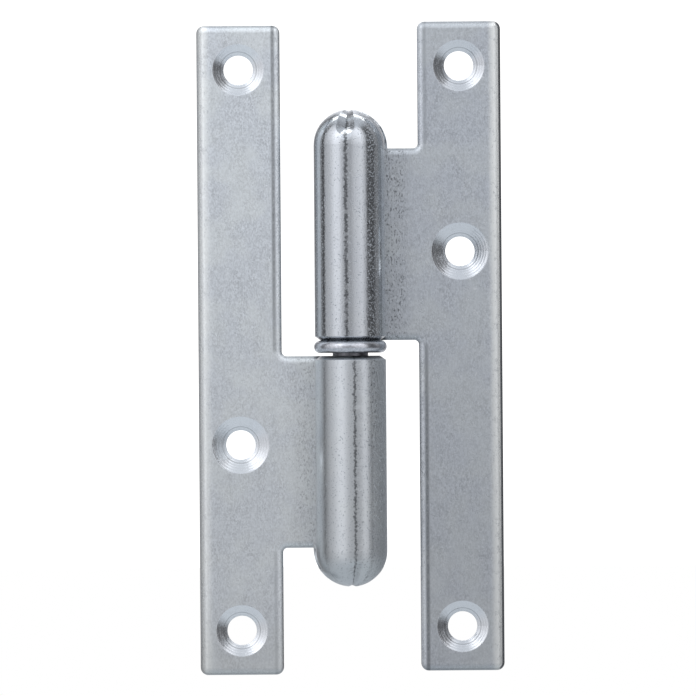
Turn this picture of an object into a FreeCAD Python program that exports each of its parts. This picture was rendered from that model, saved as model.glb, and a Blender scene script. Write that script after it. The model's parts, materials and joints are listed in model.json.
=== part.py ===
import FreeCAD, Part
import math
import os

import Sketcher

# Lift-off hinge. The pin axis is Z and the upper leaf lifts off upwards. The leaves lie open and flat,
# the lower one towards -X and the upper one towards +X, with their countersunk front towards -Y.
# The origin is on the pin axis, midway between the mouths of the two knuckles.

# Driving dimensions in millimetres and degrees: alias, value and meaning.
SIZES = (
    ("leaf_height", "110", "bar of a leaf from end to end"),
    ("leaf_reach", "25.75", "pin axis to the outer edge of a leaf"),
    ("bar_width", "14.1", "bar that carries the screw holes"),
    ("sheet_thickness", "3", "steel sheet of both leaves"),
    ("tab_height", "32.5", "tab that joins the bar to its knuckle"),
    ("corner_radius", "1.3", "outer corners of the bar"),
    ("root_radius", "0.8", "inner corners between bar and tab"),
    ("edge_radius", "1.2", "front edges drawn round by the press"),
    ("pin_diameter", "6", "hinge pin"),
    ("running_clearance", "0.05", "pin to socket, on the radius"),
    ("pin_foot_gap", "1", "foot of the pin to the start of the lower dome"),
    ("pin_head_gap", "2", "head of the pin to the start of the upper dome"),
    ("pin_foot_chamfer", "0.5", "foot of the pin"),
    ("pin_head_radius", "1.5", "head of the pin, rounded to find the socket"),
    ("mouth_draw", "0.7", "how far the outer rim of a mouth is drawn back"),
    ("mouth_width", "1", "sloping rim of a mouth, on the radius"),
    ("seam_gap", "0.3", "end of the roll to the front of its leaf"),
    ("dome_start", "0.5", "end of the tab to the start of the dome"),
    ("crease_turn", "7", "front crease, turned away from the leaf"),
    ("crease_angle", "124", "angle between the two sides of a crease"),
    ("crease_depth", "0.27", "crossing of the creases below the top of the dome"),
    ("crease_shift", "1", "pin axis to the middle of a crease's round floor"),
    ("front_sweep", "62", "fall of the front and back creases round the dome"),
    ("side_sweep", "48", "fall of the two side creases round the dome"),
    ("washer_thickness", "2.1", "bearing washer"),
    ("washer_overhang", "0.15", "washer beyond the knuckle, on the radius"),
    ("washer_clearance", "0.1", "washer to pin, on the radius"),
    ("end_play", "0.5", "room under the washer"),
    ("hole_diameter", "5", "screw holes"),
    ("hole_margin", "7.5", "end of the bar to an end hole"),
    ("middle_hole", "15", "mouth of the knuckle to the middle hole"),
    ("end_sink", "8.7", "countersink of the end holes"),
    ("middle_sink", "9.7", "countersink of the middle hole"),
    ("sink_angle", "90", "all countersinks"),
)

# Dimensions that follow from the ones above.
DERIVED = (
    ("pin_radius", "=pin_diameter / 2"),
    ("socket_radius", "=pin_radius + running_clearance"),
    ("knuckle_radius", "=pin_radius + sheet_thickness"),
    ("bar_inner", "=leaf_reach - bar_width"),
    ("hole_reach", "=leaf_reach - bar_width / 2"),
    ("leaf_head", "=(leaf_height - washer_thickness) / 2"),
    ("leaf_tail", "=leaf_height - leaf_head"),
    ("far_hole", "=leaf_head - hole_margin"),
    ("near_hole", "=leaf_tail - hole_margin"),
    ("mouth_height", "=(washer_thickness + end_play) / 2"),
    ("mouth_flat", "=knuckle_radius - mouth_width"),
    ("dome_base", "=tab_height + dome_start"),
    ("dome_top", "=dome_base + knuckle_radius"),
    ("seat_top", "=dome_base + pin_radius"),
    ("socket_top", "=dome_base + socket_radius"),
    ("ear_base", "=tab_height - edge_radius"),
    ("ear_reach", "=knuckle_radius + dome_start"),
    ("ear_top", "=tab_height + ear_reach"),
    ("seam_end", "=pin_radius - seam_gap"),
    ("seam_reach", "=sqrt(knuckle_radius ^ 2 - seam_end ^ 2)"),
    ("side_turn", "=crease_turn - 90"),
    ("crease_floor", "=sqrt((knuckle_radius - crease_depth) ^ 2 + crease_shift ^ 2)"),
    ("crease_rise", "=crease_floor + knuckle_radius / 2"),
    ("crease_half", "=(crease_rise - crease_floor) * tan(crease_angle / 2 * 1deg)"),
    ("pin_foot", "=mouth_height + dome_base - pin_foot_gap"),
    ("pin_head", "=mouth_height + dome_base - pin_head_gap"),
    ("washer_bore", "=pin_radius + washer_clearance"),
    ("washer_rim", "=knuckle_radius + washer_overhang - washer_thickness / 2"),
    ("washer_middle", "=washer_thickness / 2"),
)

FINE = 1e-6
START, END, CENTRE = range(1, 4)
X_AXIS, Y_AXIS = range(-1, -3, -1)
ORIGIN_POINT = (X_AXIS, START)


def make_sheet(doc):
    """The sheet that holds every driving and derived dimension under its alias."""
    sheet = doc.addObject("Spreadsheet::Sheet", "Sizes")
    rows = list(SIZES) + [(alias, formula, "") for alias, formula in DERIVED]
    for row, (alias, content, meaning) in enumerate(rows, start=1):
        sheet.set(f"A{row}", alias)
        sheet.set(f"B{row}", content)
        sheet.set(f"C{row}", meaning)
        sheet.setAlias(f"B{row}", alias)
    doc.recompute()


def size(doc, place):
    """The number behind a place: "0", an alias, or an alias with a minus sign."""
    if place == "0":
        return 0.0
    number = float(doc.Sizes.get(place.lstrip("-")))
    return -number if place.startswith("-") else number


def origin_feature(body, role):
    return next(feature for feature in body.Origin.OriginFeatures if feature.Role == role)


def add_sketch(body, name, plane):
    sketch = body.newObject("Sketcher::SketchObject", name)
    sketch.AttachmentSupport = [(origin_feature(body, plane), "")]
    sketch.MapMode = "FlatFace"
    return sketch


def locate(sketch, geometry, point, x, y):
    """Hold a point of a sketch at the places x and y, measured from the sketch's origin."""
    for kind, axis, place in (("DistanceX", Y_AXIS, x), ("DistanceY", X_AXIS, y)):
        if place is None:
            continue
        if place == "0":
            sketch.addConstraint(Sketcher.Constraint("PointOnObject", geometry, point, axis))
            continue
        ends = [ORIGIN_POINT, (geometry, point)]
        if place.startswith("-"):
            ends.reverse()
        distance = abs(size(sketch.Document, place))
        index = sketch.addConstraint(Sketcher.Constraint(kind, *ends[0], *ends[1], distance))
        sketch.setExpression(f"Constraints[{index}]", "Sizes." + place.lstrip("-"))


def draw_outline(sketch, corners, arcs=None):
    """Close a counterclockwise outline through corners, each a pair of places.

    arcs maps the number of a side to the centre of its arc, followed by "hollow" where the arc bulges
    into the outline.
    """
    arcs = arcs or {}
    points = [FreeCAD.Vector(size(sketch.Document, x), size(sketch.Document, y), 0) for x, y in corners]
    ends = []
    for side, start in enumerate(points):
        end = points[(side + 1) % len(points)]
        if side not in arcs:
            sketch.addGeometry(Part.LineSegment(start, end))
            ends.append((START, END))
            continue
        centre_x, centre_y, *hollow = arcs[side]
        centre = FreeCAD.Vector(size(sketch.Document, centre_x), size(sketch.Document, centre_y), 0)
        spokes = [start - centre, end - centre]
        if hollow:
            spokes.reverse()
        first, last = [math.atan2(spoke.y, spoke.x) for spoke in spokes]
        circle = Part.Circle(centre, FreeCAD.Vector(0, 0, 1), spokes[0].Length)
        sketch.addGeometry(Part.ArcOfCircle(circle, first, last))
        ends.append((END, START) if hollow else (START, END))
    for side, (x, y) in enumerate(corners):
        before = (side - 1) % len(corners)
        sketch.addConstraint(Sketcher.Constraint("Coincident", before, ends[before][1], side, ends[side][0]))
        locate(sketch, side, ends[side][0], x, y)
    for side, (centre_x, *_) in arcs.items():
        locate(sketch, side, CENTRE, centre_x, None)


def edge_names(feature, chosen):
    return [f"Edge{number}" for number, edge in enumerate(feature.Shape.Edges, start=1) if chosen(edge)]


def dress(body, kind, name, edges, measure, alias):
    """Round or bevel edges of the body's last feature."""
    base = body.Tip
    feature = body.newObject("PartDesign::" + kind, name)
    feature.Base = (base, edges)
    feature.setExpression(measure, "Sizes." + alias)
    body.Document.recompute()


def extrude(body, kind, name, sketch, length=None, reverse=False):
    """Pad or pocket a sketch by an aliased length, or cut through everything on both sides."""
    feature = body.newObject("PartDesign::" + kind, name)
    feature.Profile = sketch
    feature.Reversed = reverse
    if length:
        feature.setExpression("Length", "Sizes." + length)
    else:
        feature.Type = "ThroughAll"
        feature.SideType = "Symmetric"
    body.Document.recompute()
    return feature


def revolve(body, kind, name, sketch, axis="V_Axis", angle=None):
    """Turn a sketch round its own axis: a full turn, or back by an aliased angle."""
    feature = body.newObject("PartDesign::" + kind, name)
    feature.Profile = sketch
    feature.ReferenceAxis = (sketch, [axis])
    feature.Angle = 360
    if angle:
        feature.Reversed = True
        feature.setExpression("Angle", "Sizes." + angle)
    body.Document.recompute()
    return feature


def add_plate(body, name):
    """The flat blank: the bar with its tab, corners rounded and front edges drawn round."""
    doc = body.Document
    outline = add_sketch(body, name + "_outline", "XZ_Plane")
    outline.setExpression("AttachmentOffset.Base.z", "-Sizes.knuckle_radius")
    draw_outline(outline, (
        ("0", "0"),
        ("bar_inner", "0"),
        ("bar_inner", "-leaf_tail"),
        ("leaf_reach", "-leaf_tail"),
        ("leaf_reach", "leaf_head"),
        ("bar_inner", "leaf_head"),
        ("bar_inner", "tab_height"),
        ("0", "tab_height"),
    ))
    extrude(body, "Pad", name + "_blank", outline, "sheet_thickness")

    def bar_edges(*heights):
        """Edges of the bar through the sheet, at the given heights."""
        def chosen(edge):
            first, last = [vertex.Point for vertex in edge.Vertexes]
            level = any(abs(first.z - size(doc, height)) < FINE for height in heights)
            across = abs(first.x - last.x) < FINE and abs(first.z - last.z) < FINE
            return level and across and first.x > size(doc, "bar_inner") / 2
        return edge_names(body.Tip, chosen)

    def front_edge(edge):
        box = edge.BoundBox
        return max(abs(box.YMin - size(doc, "pin_radius")), box.YLength) < FINE < box.XMax

    dress(body, "Fillet", name + "_roots", bar_edges("0", "tab_height"), "Radius", "root_radius")
    dress(body, "Fillet", name + "_corners", bar_edges("-leaf_tail", "leaf_head"), "Radius", "corner_radius")
    dress(body, "Fillet", name + "_front", edge_names(body.Tip, front_edge), "Radius", "edge_radius")


def add_barrel(body, name):
    """The rolled knuckle with its sloping mouth and its dome, still solid."""
    section = add_sketch(body, name + "_barrel_section", "XZ_Plane")
    draw_outline(section, (
        ("0", "0"),
        ("mouth_flat", "0"),
        ("knuckle_radius", "mouth_draw"),
        ("knuckle_radius", "dome_base"),
        ("0", "dome_top"),
    ), {3: ("0", "dome_base")})
    revolve(body, "Revolution", name + "_barrel", section)


def add_ear(body, name):
    """The strip of sheet beside the dome, bent forward with it and trimmed round."""
    bend = add_sketch(body, name + "_ear_bend", "YZ_Plane")
    draw_outline(bend, (
        ("pin_radius", "ear_base"),
        ("knuckle_radius", "ear_base"),
        ("knuckle_radius", "dome_base"),
        ("0", "dome_top"),
        ("0", "seat_top"),
        ("pin_radius", "dome_base"),
    ), {2: ("0", "dome_base"), 4: ("0", "dome_base", "hollow")})
    extrude(body, "Pad", name + "_ear", bend, "ear_reach")
    trim = add_sketch(body, name + "_ear_trim", "XZ_Plane")
    draw_outline(trim, (
        ("ear_reach", "tab_height"),
        ("ear_reach", "ear_top"),
        ("0", "ear_top"),
    ), {2: ("0", "tab_height", "hollow")})
    extrude(body, "Pocket", name + "_ear_cut", trim)


def add_seam(body, name):
    """The wedge left open where the end of the roll comes back to the front of the leaf."""
    wedge = add_sketch(body, name + "_seam_wedge", "XY_Plane")
    draw_outline(wedge, (
        ("0", "0"),
        ("seam_reach", "seam_end"),
        ("knuckle_radius", "seam_end"),
        ("knuckle_radius", "pin_radius"),
        ("0", "pin_radius"),
    ))
    extrude(body, "Pocket", name + "_seam", wedge, "tab_height", reverse=True)


def add_bore(body, name, radius, top):
    """The bore for the pin, drawn in to a point inside the dome."""
    section = add_sketch(body, name + "_bore_section", "XZ_Plane")
    draw_outline(section, (
        ("0", "0"),
        (radius, "0"),
        (radius, "dome_base"),
        ("0", top),
    ))
    revolve(body, "Groove", name + "_bore", section)


def add_crease_pair(body, name, turn, sweep):
    """Two opposite creases of the dome: a notch with a round floor, and a cone that rounds its low end."""
    def low_end_sketch(part):
        """A sketch across the low end of a crease, centred in the middle of its round floor."""
        sketch = add_sketch(body, name + part, "XZ_Plane")
        sketch.setExpression(
            "AttachmentOffset",
            f"placement(vector(0; Sizes.dome_base; 0); rotation(vector(0; 1; 0); -Sizes.{turn}))"
            f" * placement(vector(0; 0; -Sizes.crease_shift); rotation(vector(1; 0; 0); Sizes.{sweep}))",
        )
        return sketch

    blade = low_end_sketch("_blade")
    draw_outline(blade, (
        ("0", "crease_floor"),
        ("crease_half", "crease_rise"),
        ("-crease_half", "crease_rise"),
    ))
    notch = revolve(body, "Groove", name + "_notch", blade, "H_Axis", sweep)
    cone = low_end_sketch("_cone")
    draw_outline(cone, (
        ("0", "crease_floor"),
        ("crease_half", "crease_rise"),
        ("0", "crease_rise"),
    ))
    low_end = revolve(body, "Groove", name + "_low_end", cone)
    pair = body.newObject("PartDesign::PolarPattern", name + "_pair")
    pair.Originals = [notch, low_end]
    pair.Axis = (origin_feature(body, "Z_Axis"), [""])
    pair.Angle = 360
    pair.Occurrences = 2
    body.Tip = pair
    body.Document.recompute()


def add_holes(body, name, heights, sink):
    """Countersunk screw holes on the middle line of the bar."""
    centres = add_sketch(body, name + "_centres", "XZ_Plane")
    centres.setExpression("AttachmentOffset.Base.z", "-Sizes.pin_radius")
    doc = body.Document
    for circle, height in enumerate(heights):
        centre = FreeCAD.Vector(size(doc, "hole_reach"), size(doc, height), 0)
        radius = size(doc, "hole_diameter") / 2
        centres.addGeometry(Part.Circle(centre, FreeCAD.Vector(0, 0, 1), radius))
        locate(centres, circle, CENTRE, "hole_reach", height)
        index = centres.addConstraint(Sketcher.Constraint("Diameter", circle, 2 * radius))
        centres.setExpression(f"Constraints[{index}]", "Sizes.hole_diameter")
    doc.recompute()
    hole = body.newObject("PartDesign::Hole", name)
    hole.Profile = centres
    hole.DepthType = "ThroughAll"
    hole.HoleCutType = "Countersink"
    hole.HoleCutCustomValues = True
    hole.setExpression("Diameter", "Sizes.hole_diameter")
    hole.setExpression("HoleCutDiameter", "Sizes." + sink)
    hole.setExpression("HoleCutCountersinkAngle", "Sizes.sink_angle")
    doc.recompute()


def make_leaf(doc, name, bore_radius, bore_top):
    """A leaf in its own frame: the mouth of its knuckle at the origin, its dome up, its bar towards +X."""
    body = doc.addObject("PartDesign::Body", name)
    add_plate(body, name)
    add_barrel(body, name)
    add_ear(body, name)
    add_seam(body, name)
    add_bore(body, name, bore_radius, bore_top)
    add_crease_pair(body, name + "_front_crease", "crease_turn", "front_sweep")
    add_crease_pair(body, name + "_side_crease", "side_turn", "side_sweep")
    add_holes(body, name + "_end_holes", ("far_hole", "-near_hole"), "end_sink")
    add_holes(body, name + "_middle_hole", ("middle_hole",), "middle_sink")
    return body


def make_lower_leaf(doc):
    """The leaf that holds the pin, turned over so that its dome points down."""
    body = make_leaf(doc, "lower_leaf", "pin_radius", "seat_top")
    body.Placement = FreeCAD.Placement(FreeCAD.Vector(), FreeCAD.Rotation(FreeCAD.Vector(0, 1, 0), 180))
    body.setExpression("Placement.Base.z", "-Sizes.mouth_height")
    return body


def make_upper_leaf(doc):
    """The leaf that runs on the pin and lifts off it."""
    body = make_leaf(doc, "upper_leaf", "socket_radius", "socket_top")
    body.setExpression("Placement.Base.z", "Sizes.mouth_height")
    return body


def make_pin(doc):
    body = doc.addObject("PartDesign::Body", "hinge_pin")
    section = add_sketch(body, "pin_section", "XZ_Plane")
    draw_outline(section, (
        ("0", "-pin_foot"),
        ("pin_radius", "-pin_foot"),
        ("pin_radius", "pin_head"),
        ("0", "pin_head"),
    ))
    revolve(body, "Revolution", "pin_round", section)

    def rim_at(height):
        def chosen(edge):
            box = edge.BoundBox
            return max(abs(box.ZMin - size(doc, height)), box.ZLength) < FINE
        return edge_names(body.Tip, chosen)

    dress(body, "Chamfer", "pin_foot_bevel", rim_at("-pin_foot"), "Size", "pin_foot_chamfer")
    dress(body, "Fillet", "pin_head_round", rim_at("pin_head"), "Radius", "pin_head_radius")
    return body


def make_washer(doc):
    """A thick ring with a fully rounded rim, against the upper mouth."""
    body = doc.addObject("PartDesign::Body", "bearing_washer")
    section = add_sketch(body, "washer_section", "XZ_Plane")
    draw_outline(section, (
        ("washer_bore", "0"),
        ("washer_rim", "0"),
        ("washer_rim", "washer_thickness"),
        ("washer_bore", "washer_thickness"),
    ), {1: ("washer_rim", "washer_middle")})
    revolve(body, "Revolution", "washer_ring", section)
    body.setExpression("Placement.Base.z", "Sizes.mouth_height - Sizes.washer_thickness")
    return body


def check(doc, bodies):
    """Stop if a feature failed, a cut took nothing away, or a body is not one sound solid."""
    for thing in doc.Objects:
        if {"Invalid", "Error"} & set(thing.State):
            raise RuntimeError(f"{thing.Name} failed: {thing.State}")
        if thing.TypeId in ("PartDesign::Pocket", "PartDesign::Groove", "PartDesign::Hole"):
            if thing.Shape.Volume >= thing.BaseFeature.Shape.Volume:
                raise RuntimeError(f"{thing.Name} cuts nothing")
    for body in bodies:
        if body.Shape.isNull() or not body.Shape.isValid() or len(body.Shape.Solids) != 1:
            raise RuntimeError(f"{body.Label} is not one sound solid")


def main():
    doc = FreeCAD.newDocument("lift_off_hinge")
    make_sheet(doc)
    bodies = [make_lower_leaf(doc), make_upper_leaf(doc), make_pin(doc), make_washer(doc)]
    doc.recompute()
    check(doc, bodies)
    os.makedirs("parts", exist_ok=True)
    for body in bodies:
        body.Shape.exportStep(f"parts/{body.Label}.step")


main()
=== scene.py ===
import json
import math
from functools import reduce
from types import SimpleNamespace

import bpy
from mathutils import Euler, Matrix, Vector


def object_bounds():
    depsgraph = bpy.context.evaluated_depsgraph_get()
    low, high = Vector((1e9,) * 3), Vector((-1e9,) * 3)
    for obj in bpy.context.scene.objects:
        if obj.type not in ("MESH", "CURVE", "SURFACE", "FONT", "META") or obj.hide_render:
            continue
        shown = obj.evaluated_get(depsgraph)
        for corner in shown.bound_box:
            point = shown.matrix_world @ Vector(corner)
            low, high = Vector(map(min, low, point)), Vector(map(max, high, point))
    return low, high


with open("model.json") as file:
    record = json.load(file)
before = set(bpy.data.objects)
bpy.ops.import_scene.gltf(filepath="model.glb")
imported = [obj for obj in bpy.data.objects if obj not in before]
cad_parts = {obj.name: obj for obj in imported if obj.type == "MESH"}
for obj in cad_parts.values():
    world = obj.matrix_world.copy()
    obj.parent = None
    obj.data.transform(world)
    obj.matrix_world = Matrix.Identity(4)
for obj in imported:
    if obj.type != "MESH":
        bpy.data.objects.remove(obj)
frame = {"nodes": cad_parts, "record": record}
cad_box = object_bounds()

MM = 0.001
PER_MM = (1 / MM,) * 3
RISE = (0.0, 1.0)
FALL = (1.0, 0.0)
WHITE = (1.0, 1.0, 1.0, 1.0)

# The photograph's camera: straight at the front, far off, with the hinge a little askew in the picture.
IMAGE_SIZE = 696
PIXELS_PER_METRE = 5920.0
PIN_AXIS_PIXEL = Vector((350.4, 348.1))
CAMERA_DISTANCE = 1.2
CAMERA_ROLL = math.radians(-0.42)
SENSOR_WIDTH = 36.0

# The studio round the hinge: azimuth in degrees, 0 towards the camera and 90 towards +X, and brightness.
STUDIO_RING = (
    (-180, 0.75),
    (-150, 0.14),
    (-130, 0.22),
    (-112, 0.30),
    (-95, 0.10),
    (-85, 0.45),
    (-66, 0.58),
    (-48, 0.90),
    (-34, 0.86),
    (-22, 0.50),
    (-10, 0.40),
    (4, 0.40),
    (16, 0.60),
    (40, 0.76),
    (53, 0.50),
    (62, 0.10),
    (87, 0.09),
    (96, 0.24),
    (106, 0.22),
    (114, 0.12),
    (128, 0.12),
    (138, 0.46),
    (150, 0.24),
    (180, 0.75),
)
PANEL_BLUE = 1.04
STUDIO_STRENGTH = 1.23

# Heights in the studio, from -1 straight down to 1 straight up: where a change starts and where it ends.
LIFT_HEIGHT = (-0.2, 0.7)
PANEL_LIFT = (0.92, 1.60)
CEILING_HEIGHT = (0.68, 0.92)
CEILING_GLOW = (0.56, 0.58, 0.62, 1.0)
GROUND_HEIGHT = (-0.12, -0.70)
GROUND_GLOW = (0.49, 0.52, 0.56, 1.0)

# A bright strip light overhead, along X.
STRIP_TILT = math.radians(65)
STRIP_WIDTH = (math.radians(9), math.radians(6))
STRIP_LENGTH = (0.60, 0.45)
STRIP_GLOW = (1.9, 1.9, 1.9, 1.0)

KEY_PLACE = Vector((-0.12, -0.55, 0.42))
KEY_SIZE = 0.50
KEY_POWER = 0.20
KEY_COLOUR = (0.84, 0.92, 1.0)

FLOOR_RADIUS = 0.6
FLOOR_SIDES = 96
FLOOR_GAP = 0.05 * MM

# What differs between the leaves. Lengths are in millimetres; shades, highlights and the scuffed look run
# from 0 to 1.
# knuckle_finish is the roughness at the knuckle's front and at its +X side. lean and edge_ease are heights
# of the worn shape, and roll_over is how steeply it falls towards the outer edge. A roll mark is an angle
# from the front and a half width, both in degrees, and a darkness; these lines are partly real marks,
# partly painted reflections.
LEAF_LOOKS = {
    "lower_leaf": SimpleNamespace(
        # colour is the same zinc as on the upper leaf, painted lighter here as painted light
        colour=(0.90, 0.955, 1.0),
        polish=(0.66, 0.70, 0.73, 1.0),
        knuckle_finish=(0.28, 0.50),
        scuffing_and_shade=0.35,
        tab_middle=-17.55,
        rim_painted_shade=0.40,
        edge_ease=0.55,
        roll_over=0.07,
        outer_highlight=0.5,
        end_shade=0.20,
        lean=0.84,
        roll_marks_and_reflections=((6.5, 2.0, 0.92), (13, 6.0, 0.25), (-48, 1.6, 0.30), (36, 2.4, 0.20)),
    ),
    "upper_leaf": SimpleNamespace(
        # colour is the same zinc as on the lower leaf, painted darker here as painted shade
        colour=(0.665, 0.71, 0.76),
        polish=(0.72, 0.755, 0.79, 1.0),
        knuckle_finish=(0.05, 0.05),
        scuffing_and_shade=0.75,
        tab_middle=17.55,
        rim_painted_shade=0.95,
        edge_ease=0.70,
        roll_over=0.035,
        outer_highlight=0.8,
        end_shade=0.0,
        lean=0.0,
        roll_marks_and_reflections=((-6, 2.6, 0.85), (-46.5, 2.0, 0.65), (62, 1.6, 0.40)),
    ),
}

# Turned pieces: material, colour, roughness and pitch of the turning in millimetres.
TURNED_LOOKS = {
    # The pin's steel is coloured dark as painted shade between the knuckles.
    "hinge_pin": ("pin_steel", (0.20, 0.20, 0.215), 0.25, 0.30),
    "bearing_washer": ("washer_zinc", (0.62, 0.64, 0.68), 0.14, 0.25),
}

# Noise: stretch along x, y and z, scale per millimetre, detail and roughness.
LEAF_NOISE = {
    "grain": ((1, 1, 0.6), 4.2, 2.0, 0.6),
    "dash_field": ((1, 1, 1), 0.7, 3.0, 0.6),
    "patches": ((1, 1, 1), 0.16, 2.0, 0.5),
    "mottle": ((1, 1, 0.45), 0.35, 3.0, 0.6),
    "streaks": ((1, 1, 0.03), 2.6, 2.0, 0.5),
    "wander": ((0, 0, 1), 0.55, 4.0, 0.7),
    "spots": ((1, 1, 0.6), 2.1, 2.0, 0.7),
    "specks": ((1, 1, 0.5), 3.6, 2.0, 0.6),
    "breaks": ((0.3, 0.3, 1), 1.3, 3.0, 0.7),
    "flecks": ((1, 1, 1), 3.2, 2.0, 0.7),
}
TURNED_NOISE = ((1, 1, 1), 3.0, 3.0, 0.6)

# Shape of the leaves in millimetres. Out is the sideways distance from the pin axis, on either side.
LEAF_REACH = 25.75
TAB_HALF = 16.25
KNUCKLE_OUT = 6.0
SHEET_FRONT = 3.0
SHEET_BACK = 6.0
EDGE_RADIUS = 1.2
MOUTH_HEIGHT = 1.3
SINK_RIM = {"bolt_pattern": 4.35, "bore": 4.85}

# Places on a leaf in millimetres. A pair is where a change starts and where it ends.
FLAT_FROM_AXIS = (6.05, 6.9)
FRONT_Y = (5.0, 4.0)
SINK_GAP = (4.95, 4.75)
OFF_SINK_GAP = (4.90, 5.05)
SINK_FLOOR_Y = (SHEET_BACK - 0.2, SHEET_BACK - 0.4)
LEAN_Y = (0.0, SHEET_BACK - 0.5)
EDGE_Y = (SHEET_FRONT, SHEET_FRONT + EDGE_RADIUS)
SIDE_Y = (SHEET_FRONT + EDGE_RADIUS, SHEET_BACK)
OFF_TAB_Z = (TAB_HALF + 0.3, TAB_HALF + 1.2)
INNER_LINE_OUT = 12.85
INNER_LINE_WIDTH = (0.5, 0.1)
OUTER_HIGHLIGHT_OUT = (LEAF_REACH - 2.4, LEAF_REACH - 1.2)
OUTER_RIM_OUT = (LEAF_REACH - 1.0, LEAF_REACH - 0.6)
MOUTH_PAINTED_SHADE_Z = (0.75, 0.45)
MOUTH_PAINTED_SHADE_OUT = (6.3, 6.0)
SCUFF_AND_SHADE_OUT = (10.4, 8.4)
TAB_PAINTED_SHADE_OUT = (12.0, 8.0)
LOW_PAINTED_SHADE_Z = (55, -55)
END_SHADE_Z = (-40, -54)
SIDE_PAINTED_SHADE_Z = (-26, -8)
LIP_RADIUS = 3.1
LIP_WIDTH = (0.12, 0.02)

# The same for the y part of the surface's normal.
LEVEL_FACING = (0.85, 0.97)
CUT_FACING_FRONT = (-0.85, -0.75)
CUT_FACING_BACK = (0.3, 0.1)
RIM_FACING_START = (0.80, 0.70)
RIM_FACING_END = (0.05, 0.15)

# The same for the angle round a knuckle in degrees, 0 at the front and 90 towards +X.
PAINTED_SHADE_SIDE_START = (24, 32)
PAINTED_SHADE_SIDE_END = (56, 46)
FLECK_SIDE = (24, 34)
DULL_SIDE = (28, 40)

# The same for the noises, with what they turn into.
SWAY_LEVEL = (0.2, 0.8)
WANDER_SWAY = (-2.5, 2.5)
GRAIN_SWAY = (-2.2, 2.2)
DASH_WARP = (0.9, 0.9, 0.9)
DASH_SCALE = 1.7
DASH_GAP = (0.03, 0.12)
DASH_LEVEL = (0.52, 0.62)
PIT_LEVEL = (0.62, 0.72)
GLINT_LEVEL = (0.36, 0.28)
SPECK_LEVEL = (0.54, 0.66)
BREAK_LEVEL = (0.34, 0.52)
BREAK_SHARE = (0.35, 1.0)
INNER_GRAIN_LEVEL = (0.35, 0.60)
INNER_GRAIN_SHARE = (0.6, 1.0)
TONE_LEVEL = (0.3, 0.7)
TONE_FADE_LEVEL = (0.3, 0.65)
TONE_FADE_SHARE = (1.0, 0.6)
MOTTLE_LEVEL = (0.35, 0.65)
PATCH_LEVEL = (0.40, 0.65)
FLECK_LEVEL = (0.595, 0.535)
FLECK_STEP = 0.05

# Worn shape and fine relief.
SINK_WEAR = 0.26
ROLL_OVER_WIDTH = 3.0
TURNING_PITCH = 0.42
TURNING_WOBBLE = 0.5
STREAK_RELIEF = 0.6
KNUCKLE_RELIEF = (0.10, 1.0)
PIT_RELIEF = 1.2
SPECK_RELIEF = 0.8
DASH_RELIEF = 1.5
SINK_RELIEF = (1.0, 0.5)
TURNING_RELIEF = 0.6
RELIEF_STRENGTH = 0.5
RELIEF_DEPTH = 0.012 * MM
BEVEL_RADIUS = 0.14 * MM
BEVEL_SAMPLES = 4

# Dark lines and painted shade: how far a roll mark's core and fade reach, in half widths, and how dark
# things get.
MARK_CORE = 0.3
MARK_REACH = 1.6
SIDE_PAINTED_SHADE = (0.0, 0.65)
INNER_PAINTED_SHADE = (0.25, 0.70)
RIM_PAINTED_SHADE = 0.30
MOUTH_PAINTED_SHADE = (0.0, 0.65)
MOUTH_RAGGED = 0.3
LIP_SHADE = 0.35
BACK_SCUFFS_AND_SHADE = (0.4, 1.0)
SHADE_AND_MARK_TONE = 0.15

# Colours, painted light and shade among them, and how much of each is laid over the zinc.
# Painted highlight colour, for the glints and for the painted reflection in the countersinks.
PAINTED_HIGHLIGHT_ZINC = (0.94, 0.97, 1.0, 1.0)
EDGE_HIGHLIGHT = (0.93, 0.95, 0.92, 1.0)
WARM_TINT = (1.02, 1.01, 0.93)
# Dark tint of the painted shade low on the leaves and beside the knuckle, and of the darker bottom end.
SHADE_TINT = (0.37, 0.35, 0.32)
DARK_TONE = 0.62
MIDDLE_TONE = 0.55
KNUCKLE_TONE_SHARE = (0.25, 1.0)
MOTTLE_TONE = 0.86
PIT_TONE = 0.40
MOTTLE_SHARE = (0.0, 0.20)
PATCH_SHARE = (0.0, 0.30)
GLINT_SHARE = 0.4
PIT_SHARE = 0.40
DASH_SHARE = 0.30
POLISH_SHARE = (0.0, 0.5)
LOW_PAINTED_SHADE_SHARE = (0.0, 0.32)
TAB_PAINTED_SHADE_SHARE = (0.0, 0.10)
SINK_HIGHLIGHT_SHARE = 0.6

# Roughness.
FLAT_FINISH = 0.32
MOTTLE_FINISH = 0.16
EDGE_TO_SINK_FINISH = (0.20, 0.10)
GRAIN_FINISH = 0.12
FLECK_FINISH = 0.7

# The turned pieces.
TURNED_DARK = 0.8
TURNED_LIGHT = 1.08
TURNED_STRENGTH = 0.2
TURNED_DEPTH = 0.01 * MM


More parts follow.
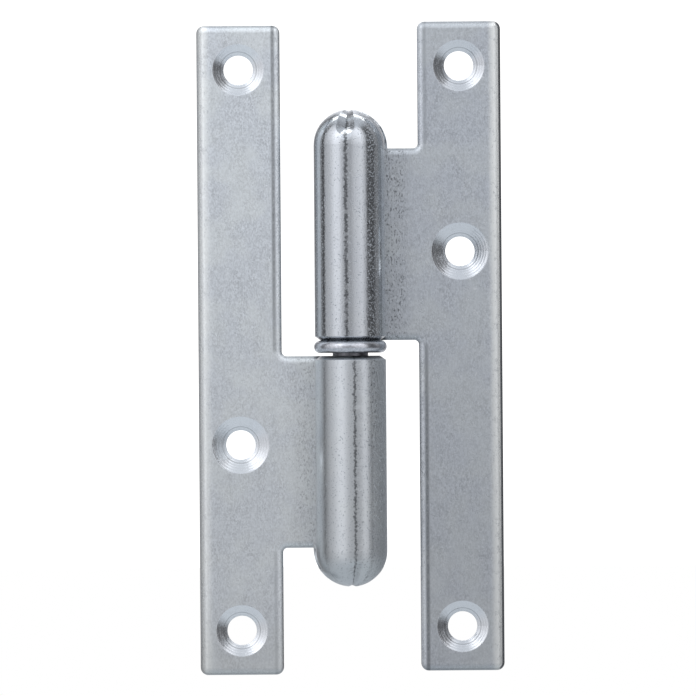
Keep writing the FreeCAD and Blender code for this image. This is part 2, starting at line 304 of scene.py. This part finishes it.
class Graph:
    """A node tree, with short calls for the nodes that the looks are made of."""

    def __init__(self, tree):
        self.tree = tree

    def node(self, kind, settings=None, inputs=None):
        """Add a node, set its properties, and set or link its inputs by name or number."""
        node = self.tree.nodes.new(kind)
        for key, value in (settings or {}).items():
            setattr(node, key, value)
        for key, value in (inputs or {}).items():
            if isinstance(value, bpy.types.NodeSocket):
                self.tree.links.new(value, node.inputs[key])
            else:
                node.inputs[key].default_value = value
        return node

    def calculate(self, operation, first, second=0.0, third=0.0):
        inputs = {0: first, 1: second, 2: third}
        return self.node("ShaderNodeMath", {"operation": operation}, inputs).outputs[0]

    def combine(self, operation, values):
        """Join values two by two with one operation."""
        return reduce(lambda first, second: self.calculate(operation, first, second), values)

    def times(self, *values):
        return self.combine("MULTIPLY", values)

    def plus(self, *values):
        return self.combine("ADD", values)

    def minus(self, first, second):
        return self.calculate("SUBTRACT", first, second)

    def times_plus(self, value, factor, added):
        return self.calculate("MULTIPLY_ADD", value, factor, added)

    def size(self, value):
        """A value without its sign."""
        return self.calculate("ABSOLUTE", value)

    def waves(self, value, pitch):
        return self.calculate("SINE", self.times(value, 2 * math.pi / pitch))

    def remap(self, value, span, to=RISE):
        """Turn one range of a value into another, smoothly and without going past its ends."""
        inputs = {"Value": value}
        inputs.update(zip(("From Min", "From Max", "To Min", "To Max"), (*span, *to)))
        settings = {"interpolation_type": "SMOOTHSTEP"}
        return self.node("ShaderNodeMapRange", settings, inputs).outputs["Result"]

    def vector(self, operation, inputs, output="Vector"):
        return self.node("ShaderNodeVectorMath", {"operation": operation}, inputs).outputs[output]

    def stretch(self, place, factors):
        return self.vector("MULTIPLY", {0: place, 1: factors})

    def parts(self, vector):
        """The x, y and z of a vector."""
        return tuple(self.node("ShaderNodeSeparateXYZ", None, {0: vector}).outputs)

    def distance(self, place, centre, axes):
        """Distance from a point, counted only along the axes that are 1."""
        flat_centre = tuple(part * axis for part, axis in zip(centre, axes))
        return self.vector("DISTANCE", {0: self.stretch(place, axes), 1: flat_centre}, "Value")

    def noise(self, place, recipe):
        axes, scale, detail, roughness = recipe
        stretched = self.stretch(place, axes)
        inputs = {"Vector": stretched, "Scale": scale, "Detail": detail, "Roughness": roughness}
        return self.node("ShaderNodeTexNoise", {"noise_dimensions": "3D"}, inputs).outputs["Fac"]

    def mix(self, factor, first, second):
        return self.node("ShaderNodeMix", None, {0: factor, 2: first, 3: second}).outputs[0]

    def mix_colour(self, factor, first, second):
        inputs = {0: factor, 6: first, 7: second}
        return self.node("ShaderNodeMix", {"data_type": "RGBA"}, inputs).outputs[2]

    def bump(self, height, strength, distance, **inputs):
        inputs.update(Height=height, Strength=strength, Distance=distance)
        return self.node("ShaderNodeBump", None, inputs).outputs["Normal"]


def tinted(colour, *tint):
    """A colour times one factor, or times one factor for each of its parts."""
    factors = tint * 3 if len(tint) == 1 else tint
    return tuple(part * factor for part, factor in zip(colour, factors)) + (1.0,)


def metal(name, make_look, *details):
    """A metal material, with the colour, roughness and normal that a function makes for it."""
    material = bpy.data.materials.new(name)
    material.use_nodes = True
    graph = Graph(material.node_tree)
    shader = graph.tree.nodes["Principled BSDF"]
    shader.inputs["Metallic"].default_value = 1.0
    sockets = ("Base Color", "Roughness", "Normal")
    for socket, value in zip(sockets, make_look(graph, *details)):
        graph.tree.links.new(value, shader.inputs[socket])
    return material


def screw_holes(leaf):
    """Centres of a leaf's screw holes, from the record's mounts, and their rims, in millimetres."""
    holes = []
    for mount in frame["record"]["mounts"]:
        if not mount["name"].startswith(leaf) or mount["kind"] not in SINK_RIM:
            continue
        centre = Vector(mount["pos_m"]) / MM
        half = Vector((0, 0, mount["dims"].get("spacing_y_mm", 0) / 2))
        for place in {tuple(centre - half), tuple(centre + half)}:
            holes.append((place, SINK_RIM[mount["kind"]]))
    return sorted(holes)


def leaf_places(graph, leaf):
    """Where a point lies on a leaf, in millimetres and degrees, with masks that run from 0 to 1."""
    coordinates = graph.node("ShaderNodeTexCoord").outputs
    at = SimpleNamespace(place=graph.stretch(coordinates["Object"], PER_MM))
    at.x, at.y, at.z = graph.parts(at.place)
    normal_y = graph.parts(coordinates["Normal"])[1]
    noises = {name: graph.noise(at.place, recipe) for name, recipe in LEAF_NOISE.items()}
    at.noise = SimpleNamespace(**noises)

    at.out = graph.size(at.x)
    at.facing = graph.size(normal_y)
    at.flat = graph.remap(graph.distance(at.place, (0, 0, 0), (1, 1, 0)), FLAT_FROM_AXIS)
    at.rolled = graph.minus(1.0, at.flat)
    at.level = graph.remap(at.facing, LEVEL_FACING)
    at.front = graph.remap(at.y, FRONT_Y)

    gaps = [(graph.distance(at.place, centre, (1, 0, 1)), rim) for centre, rim in screw_holes(leaf)]
    at.near_hole = graph.combine("MINIMUM", [gap for gap, rim in gaps])
    at.sunk = graph.plus(*[graph.calculate("MINIMUM", gap, rim) for gap, rim in gaps])
    at.off_sink = graph.remap(at.near_hole, OFF_SINK_GAP)
    cut = graph.times(graph.remap(normal_y, CUT_FACING_FRONT), graph.remap(normal_y, CUT_FACING_BACK))
    at.sink = graph.times(graph.remap(at.near_hole, SINK_GAP), cut)

    angle = graph.calculate("DEGREES", graph.calculate("ARCTAN2", at.x, graph.times(at.y, -1.0)))
    wander = graph.remap(at.noise.wander, SWAY_LEVEL, WANDER_SWAY)
    ragged = graph.remap(at.noise.grain, SWAY_LEVEL, GRAIN_SWAY)
    at.around = graph.plus(angle, wander, ragged)
    return at


def add_small_marks(graph, at):
    """Pits, glints and specks in the zinc, and short dashes along the gaps between its scales."""
    at.pits = graph.remap(at.noise.spots, PIT_LEVEL)
    at.glints = graph.remap(at.noise.spots, GLINT_LEVEL)
    at.specks = graph.remap(at.noise.specks, SPECK_LEVEL)
    warped = graph.vector("MULTIPLY_ADD", {0: DASH_WARP, 1: at.noise.grain, 2: at.place})
    inputs = {"Vector": warped, "Scale": DASH_SCALE}
    gap = graph.node("ShaderNodeTexVoronoi", {"feature": "DISTANCE_TO_EDGE"}, inputs).outputs["Distance"]
    field = graph.remap(at.noise.dash_field, DASH_LEVEL)
    at.dashes = graph.times(graph.remap(gap, DASH_GAP, FALL), field, at.flat)


def roll_lines_and_reflections(graph, at, look):
    """Broken dark lines along the knuckle: partly marks that the rolling left, partly painted dark
    reflections.
    """
    broken = graph.remap(at.noise.breaks, BREAK_LEVEL, BREAK_SHARE)
    lines = []
    for angle, half_width, darkness in look.roll_marks_and_reflections:
        away = graph.size(graph.minus(at.around, angle))
        width = (half_width * MARK_CORE, half_width * MARK_REACH)
        lines.append(graph.times(graph.remap(away, width, (darkness, 0.0)), broken))
    return graph.times(graph.combine("MAXIMUM", lines), at.rolled)


def dark_marks(graph, at, look):
    """Everything that darkens a leaf, painted shade and real marks, in the order in which it is laid on.
    """
    # Painted shade in specks on the knuckle's +X side.
    side_painted_shade = graph.times(
        graph.remap(at.around, PAINTED_SHADE_SIDE_START),
        graph.remap(at.around, PAINTED_SHADE_SIDE_END),
        graph.remap(at.z, SIDE_PAINTED_SHADE_Z, SIDE_PAINTED_SHADE),
        at.rolled,
        at.specks,
    )
    beside_tab = graph.size(graph.minus(at.z, look.tab_middle))
    # Painted shade along the inner edge of the bar, away from the tab.
    inner_painted_shade = graph.times(
        graph.remap(graph.size(graph.minus(at.out, INNER_LINE_OUT)), INNER_LINE_WIDTH),
        graph.remap(beside_tab, OFF_TAB_Z),
        at.front,
        graph.remap(at.z, (look.tab_middle, -look.tab_middle), INNER_PAINTED_SHADE),
        graph.remap(at.noise.grain, INNER_GRAIN_LEVEL, INNER_GRAIN_SHARE),
    )
    # Dark specks on the flats beside the knuckle: partly scuff wear, partly painted shade beside the
    # knuckle.
    scuffs_and_shade = graph.times(
        graph.remap(at.out, SCUFF_AND_SHADE_OUT),
        at.flat,
        at.specks,
        look.scuffing_and_shade,
        graph.remap(at.front, RISE, BACK_SCUFFS_AND_SHADE),
    )
    from_lip = graph.size(graph.minus(at.near_hole, LIP_RADIUS))
    lip_line = graph.times(graph.remap(from_lip, LIP_WIDTH), at.sink, LIP_SHADE)
    from_mouth = graph.minus(graph.size(at.z), MOUTH_HEIGHT)
    ragged_mouth = graph.times_plus(at.noise.grain, MOUTH_RAGGED, from_mouth)
    # Painted shade round the knuckle's mouth, next to the washer.
    mouth_painted_shade = graph.times(
        graph.remap(ragged_mouth, MOUTH_PAINTED_SHADE_Z, MOUTH_PAINTED_SHADE), graph.remap(at.out, MOUTH_PAINTED_SHADE_OUT)
    )
    # Painted shade on the rounded edges of the flats, darkest along the outer edge.
    painted_rim_line = graph.times(
        graph.remap(at.facing, RIM_FACING_START),
        graph.remap(at.facing, RIM_FACING_END),
        at.flat,
        graph.remap(at.out, OUTER_RIM_OUT, (RIM_PAINTED_SHADE, look.rim_painted_shade)),
        at.off_sink,
    )
    return roll_lines_and_reflections(graph, at, look), side_painted_shade, inner_painted_shade, scuffs_and_shade, lip_line, mouth_painted_shade, painted_rim_line


def leaf_colour(graph, at, look):
    """Grainy zinc with everything that lies over it, painted light and shade among it, from the bottom
    layer to the top one.
    """
    colour = look.colour
    low = tinted(colour, *SHADE_TINT)
    shade_and_marks = tinted(colour, SHADE_AND_MARK_TONE)
    outer_highlight_band = graph.times(graph.remap(at.out, OUTER_HIGHLIGHT_OUT), at.front)
    strength = graph.times(
        graph.remap(at.flat, RISE, KNUCKLE_TONE_SHARE),
        graph.remap(at.noise.mottle, TONE_FADE_LEVEL, TONE_FADE_SHARE),
    )
    tone = graph.mix(strength, MIDDLE_TONE, graph.remap(at.noise.grain, TONE_LEVEL))
    base = graph.mix_colour(tone, tinted(colour, DARK_TONE), tinted(colour, 1.0))
    layers = [
        (graph.remap(at.noise.mottle, MOTTLE_LEVEL, MOTTLE_SHARE), tinted(colour, MOTTLE_TONE)),
        (graph.remap(at.noise.patches, PATCH_LEVEL, PATCH_SHARE), tinted(colour, *WARM_TINT)),
        # Painted highlight: a lighter band along the outer edges of the front.
        (graph.times(outer_highlight_band, look.outer_highlight), EDGE_HIGHLIGHT),
        (graph.times(at.glints, GLINT_SHARE), PAINTED_HIGHLIGHT_ZINC),
        (graph.times(at.pits, PIT_SHARE), tinted(colour, PIT_TONE)),
        (graph.times(at.dashes, DASH_SHARE), tinted(colour, PIT_TONE)),
        (graph.remap(at.flat, FALL, POLISH_SHARE), look.polish),
        # Painted shade: darker towards the bottom of each leaf.
        (graph.remap(at.z, LOW_PAINTED_SHADE_Z, LOW_PAINTED_SHADE_SHARE), low),
        # Darker towards the bottom end of the lower leaf.
        (graph.remap(at.z, END_SHADE_Z, (0.0, look.end_shade)), low),
        # Painted shade on the tabs next to the knuckle and on the knuckle itself.
        (graph.remap(at.out, TAB_PAINTED_SHADE_OUT, TAB_PAINTED_SHADE_SHARE), low),
        # Painted reflection: the countersinks lightened towards bright zinc.
        (graph.times(at.sink, SINK_HIGHLIGHT_SHARE), PAINTED_HIGHLIGHT_ZINC),
    ]
    # Every darkening, painted shade and real marks alike, is laid on in one dark tone.
    layers += [(darkness, shade_and_marks) for darkness in dark_marks(graph, at, look)]
    for share, layer in layers:
        base = graph.mix_colour(share, base, layer)
    return base


def leaf_finish(graph, at, look):
    """Roughness: dull flats, brighter edges and countersinks, and a burnished knuckle with dull flecks."""
    flat_finish = graph.times_plus(at.noise.mottle, MOTTLE_FINISH, FLAT_FINISH)
    cut_finish = graph.remap(at.sink, RISE, EDGE_TO_SINK_FINISH)
    edge_finish = graph.times_plus(at.noise.grain, GRAIN_FINISH, cut_finish)
    sheet_finish = graph.mix(at.level, edge_finish, flat_finish)
    fleck_start = graph.remap(at.around, FLECK_SIDE, FLECK_LEVEL)
    flecks = graph.remap(at.noise.flecks, (fleck_start, graph.plus(fleck_start, FLECK_STEP)))
    rolled_finish = graph.remap(at.around, DULL_SIDE, look.knuckle_finish)
    knuckle_finish = graph.times_plus(flecks, FLECK_FINISH, rolled_finish)
    return graph.mix(at.flat, knuckle_finish, sheet_finish)


def worn_shape(graph, at, look):
    """Shallow height in millimetres: worn countersinks, drawn-down and eased edges, a leaning knuckle."""
    worn_sinks = graph.times(at.sunk, graph.remap(at.y, SINK_FLOOR_Y, (0.0, -SINK_WEAR)))
    past = graph.calculate("MAXIMUM", graph.minus(at.out, LEAF_REACH - ROLL_OVER_WIDTH), 0.0)
    rolled_over = graph.times(past, past, -look.roll_over, at.front)
    lean = graph.remap(at.x, (-KNUCKLE_OUT, KNUCKLE_OUT), (0.0, look.lean))
    leaning = graph.times(lean, graph.remap(at.y, LEAN_Y, FALL))
    eased = graph.times(
        graph.remap(at.y, EDGE_Y, (0.0, look.edge_ease)),
        graph.remap(at.y, SIDE_Y, FALL),
        at.flat,
        at.off_sink,
    )
    return graph.plus(worn_sinks, rolled_over, leaning, eased)


def fine_relief(graph, at):
    """Grain and streaks of the sheet, its small marks sunk in, and turning rings in the countersinks."""
    relief = graph.times_plus(at.noise.streaks, STREAK_RELIEF, at.noise.grain)
    relief = graph.times(relief, graph.remap(at.flat, RISE, KNUCKLE_RELIEF))
    for marks, depth in ((at.pits, PIT_RELIEF), (at.specks, SPECK_RELIEF), (at.dashes, DASH_RELIEF)):
        relief = graph.minus(relief, graph.times(marks, depth))
    relief = graph.times(relief, graph.remap(at.sink, RISE, SINK_RELIEF))
    wobble = graph.times_plus(at.noise.grain, TURNING_WOBBLE, at.near_hole)
    rings = graph.times(graph.waves(wobble, TURNING_PITCH), at.sink)
    return graph.times_plus(rings, TURNING_RELIEF, relief)


def leaf_look(graph, leaf, look):
    """Bright zinc on stamped sheet: grainy flats, a burnished knuckle and turned countersinks."""
    at = leaf_places(graph, leaf)
    add_small_marks(graph, at)
    settings, inputs = {"samples": BEVEL_SAMPLES}, {"Radius": BEVEL_RADIUS}
    bevelled = graph.node("ShaderNodeBevel", settings, inputs).outputs["Normal"]
    worn = graph.bump(worn_shape(graph, at, look), 1.0, MM, Normal=bevelled)
    normal = graph.bump(fine_relief(graph, at), RELIEF_STRENGTH, RELIEF_DEPTH, Normal=worn)
    return leaf_colour(graph, at, look), leaf_finish(graph, at, look), normal


def turned_look(graph, colour, finish, pitch):
    """Turned steel with fine rings round the pin axis."""
    place = graph.stretch(graph.node("ShaderNodeTexCoord").outputs["Object"], PER_MM)
    height = graph.parts(place)[2]
    grain = graph.noise(place, TURNED_NOISE)
    dark, light = tinted(colour, TURNED_DARK), tinted(colour, TURNED_LIGHT)
    base = graph.mix_colour(graph.remap(grain, TONE_LEVEL), dark, light)
    lines = graph.waves(graph.times_plus(grain, pitch, height), pitch)
    normal = graph.bump(lines, TURNED_STRENGTH, TURNED_DEPTH)
    return base, graph.times_plus(grain, GRAIN_FINISH, finish), normal


def dress_nodes():
    materials = {leaf: metal(leaf + "_zinc", leaf_look, leaf, look) for leaf, look in LEAF_LOOKS.items()}
    for name, (material_name, *details) in TURNED_LOOKS.items():
        materials[name] = metal(material_name, turned_look, *details)
    for name, material in materials.items():
        frame["nodes"][name].data.materials.clear()
        frame["nodes"][name].data.materials.append(material)


def add_world():
    """A ring of soft panels and dark gaps round the hinge, which the camera sees as plain white."""
    world = bpy.data.worlds.new("studio")
    world.use_nodes = True
    world.node_tree.nodes.clear()
    graph = Graph(world.node_tree)
    x, y, z = graph.parts(graph.node("ShaderNodeTexCoord").outputs["Generated"])
    azimuth = graph.calculate("ARCTAN2", x, graph.times(y, -1.0))
    turn = graph.times_plus(azimuth, 1 / (2 * math.pi), 0.5)
    ring = graph.node("ShaderNodeValToRGB", None, {"Fac": turn})
    stops = ring.color_ramp.elements
    while len(stops) < len(STUDIO_RING):
        stops.new(0.5)
    for stop, (angle, glow) in zip(stops, STUDIO_RING):
        stop.position = angle / 360 + 0.5
        stop.color = (glow, glow, glow * PANEL_BLUE, 1.0)
    lift = graph.remap(z, LIFT_HEIGHT, PANEL_LIFT)
    glow = graph.vector("SCALE", {0: ring.outputs["Color"], "Scale": lift})
    glow = graph.mix_colour(graph.remap(z, CEILING_HEIGHT), glow, CEILING_GLOW)
    glow = graph.mix_colour(graph.remap(z, GROUND_HEIGHT), glow, GROUND_GLOW)
    off_strip = graph.size(graph.minus(graph.calculate("ARCTAN2", z, y), STRIP_TILT))
    strip = graph.times(graph.remap(off_strip, STRIP_WIDTH), graph.remap(graph.size(x), STRIP_LENGTH))
    glow = graph.mix_colour(strip, glow, STRIP_GLOW)
    seen = graph.node("ShaderNodeLightPath").outputs["Is Camera Ray"]
    inputs = {"Color": graph.mix_colour(seen, glow, WHITE), "Strength": STUDIO_STRENGTH}
    background = graph.node("ShaderNodeBackground", None, inputs).outputs[0]
    graph.node("ShaderNodeOutputWorld", None, {"Surface": background})
    bpy.context.scene.world = world


def add_light():
    lamp = bpy.data.lights.new("key_light", "AREA")
    lamp.shape = "DISK"
    lamp.size = KEY_SIZE
    lamp.energy = KEY_POWER
    lamp.color = KEY_COLOUR
    light = bpy.data.objects.new("key_light", lamp)
    light.location = KEY_PLACE
    light.rotation_euler = (-KEY_PLACE).to_track_quat("-Z", "Y").to_euler()
    bpy.context.scene.collection.objects.link(light)


def add_floor():
    """A pale round floor just under the hinge, white to the camera and clear to all other light."""
    bpy.ops.mesh.primitive_circle_add(vertices=FLOOR_SIDES, radius=FLOOR_RADIUS, fill_type="NGON")
    floor = bpy.context.object
    floor.name = "floor"
    floor.location.z = cad_box[0].z - FLOOR_GAP
    material = bpy.data.materials.new("floor_pale")
    material.use_nodes = True
    material.node_tree.nodes.clear()
    graph = Graph(material.node_tree)
    clear = graph.node("ShaderNodeBsdfTransparent").outputs[0]
    white = graph.node("ShaderNodeEmission", None, {"Color": WHITE}).outputs[0]
    seen = graph.node("ShaderNodeLightPath").outputs["Is Camera Ray"]
    shown = graph.node("ShaderNodeMixShader", None, {0: seen, 1: clear, 2: white}).outputs[0]
    graph.node("ShaderNodeOutputMaterial", None, {"Surface": shown})
    floor.data.materials.append(material)


def add_camera():
    camera_data = bpy.data.cameras.new("photo_camera")
    camera_data.sensor_width = SENSOR_WIDTH
    camera_data.lens = SENSOR_WIDTH * CAMERA_DISTANCE * PIXELS_PER_METRE / IMAGE_SIZE
    camera = bpy.data.objects.new("photo_camera", camera_data)
    offset = (PIN_AXIS_PIXEL - Vector((IMAGE_SIZE / 2, IMAGE_SIZE / 2))) / PIXELS_PER_METRE
    camera.location = (-offset.x, -CAMERA_DISTANCE, offset.y)
    upright = Euler((math.pi / 2, 0, 0)).to_quaternion()
    roll = Euler((0, 0, CAMERA_ROLL)).to_quaternion()
    camera.rotation_euler = (upright @ roll).to_euler()
    bpy.context.scene.collection.objects.link(camera)
    bpy.context.scene.camera = camera


dress_nodes()
add_world()
add_light()
add_floor()
add_camera()
bpy.context.scene.view_settings.view_transform = "Standard"
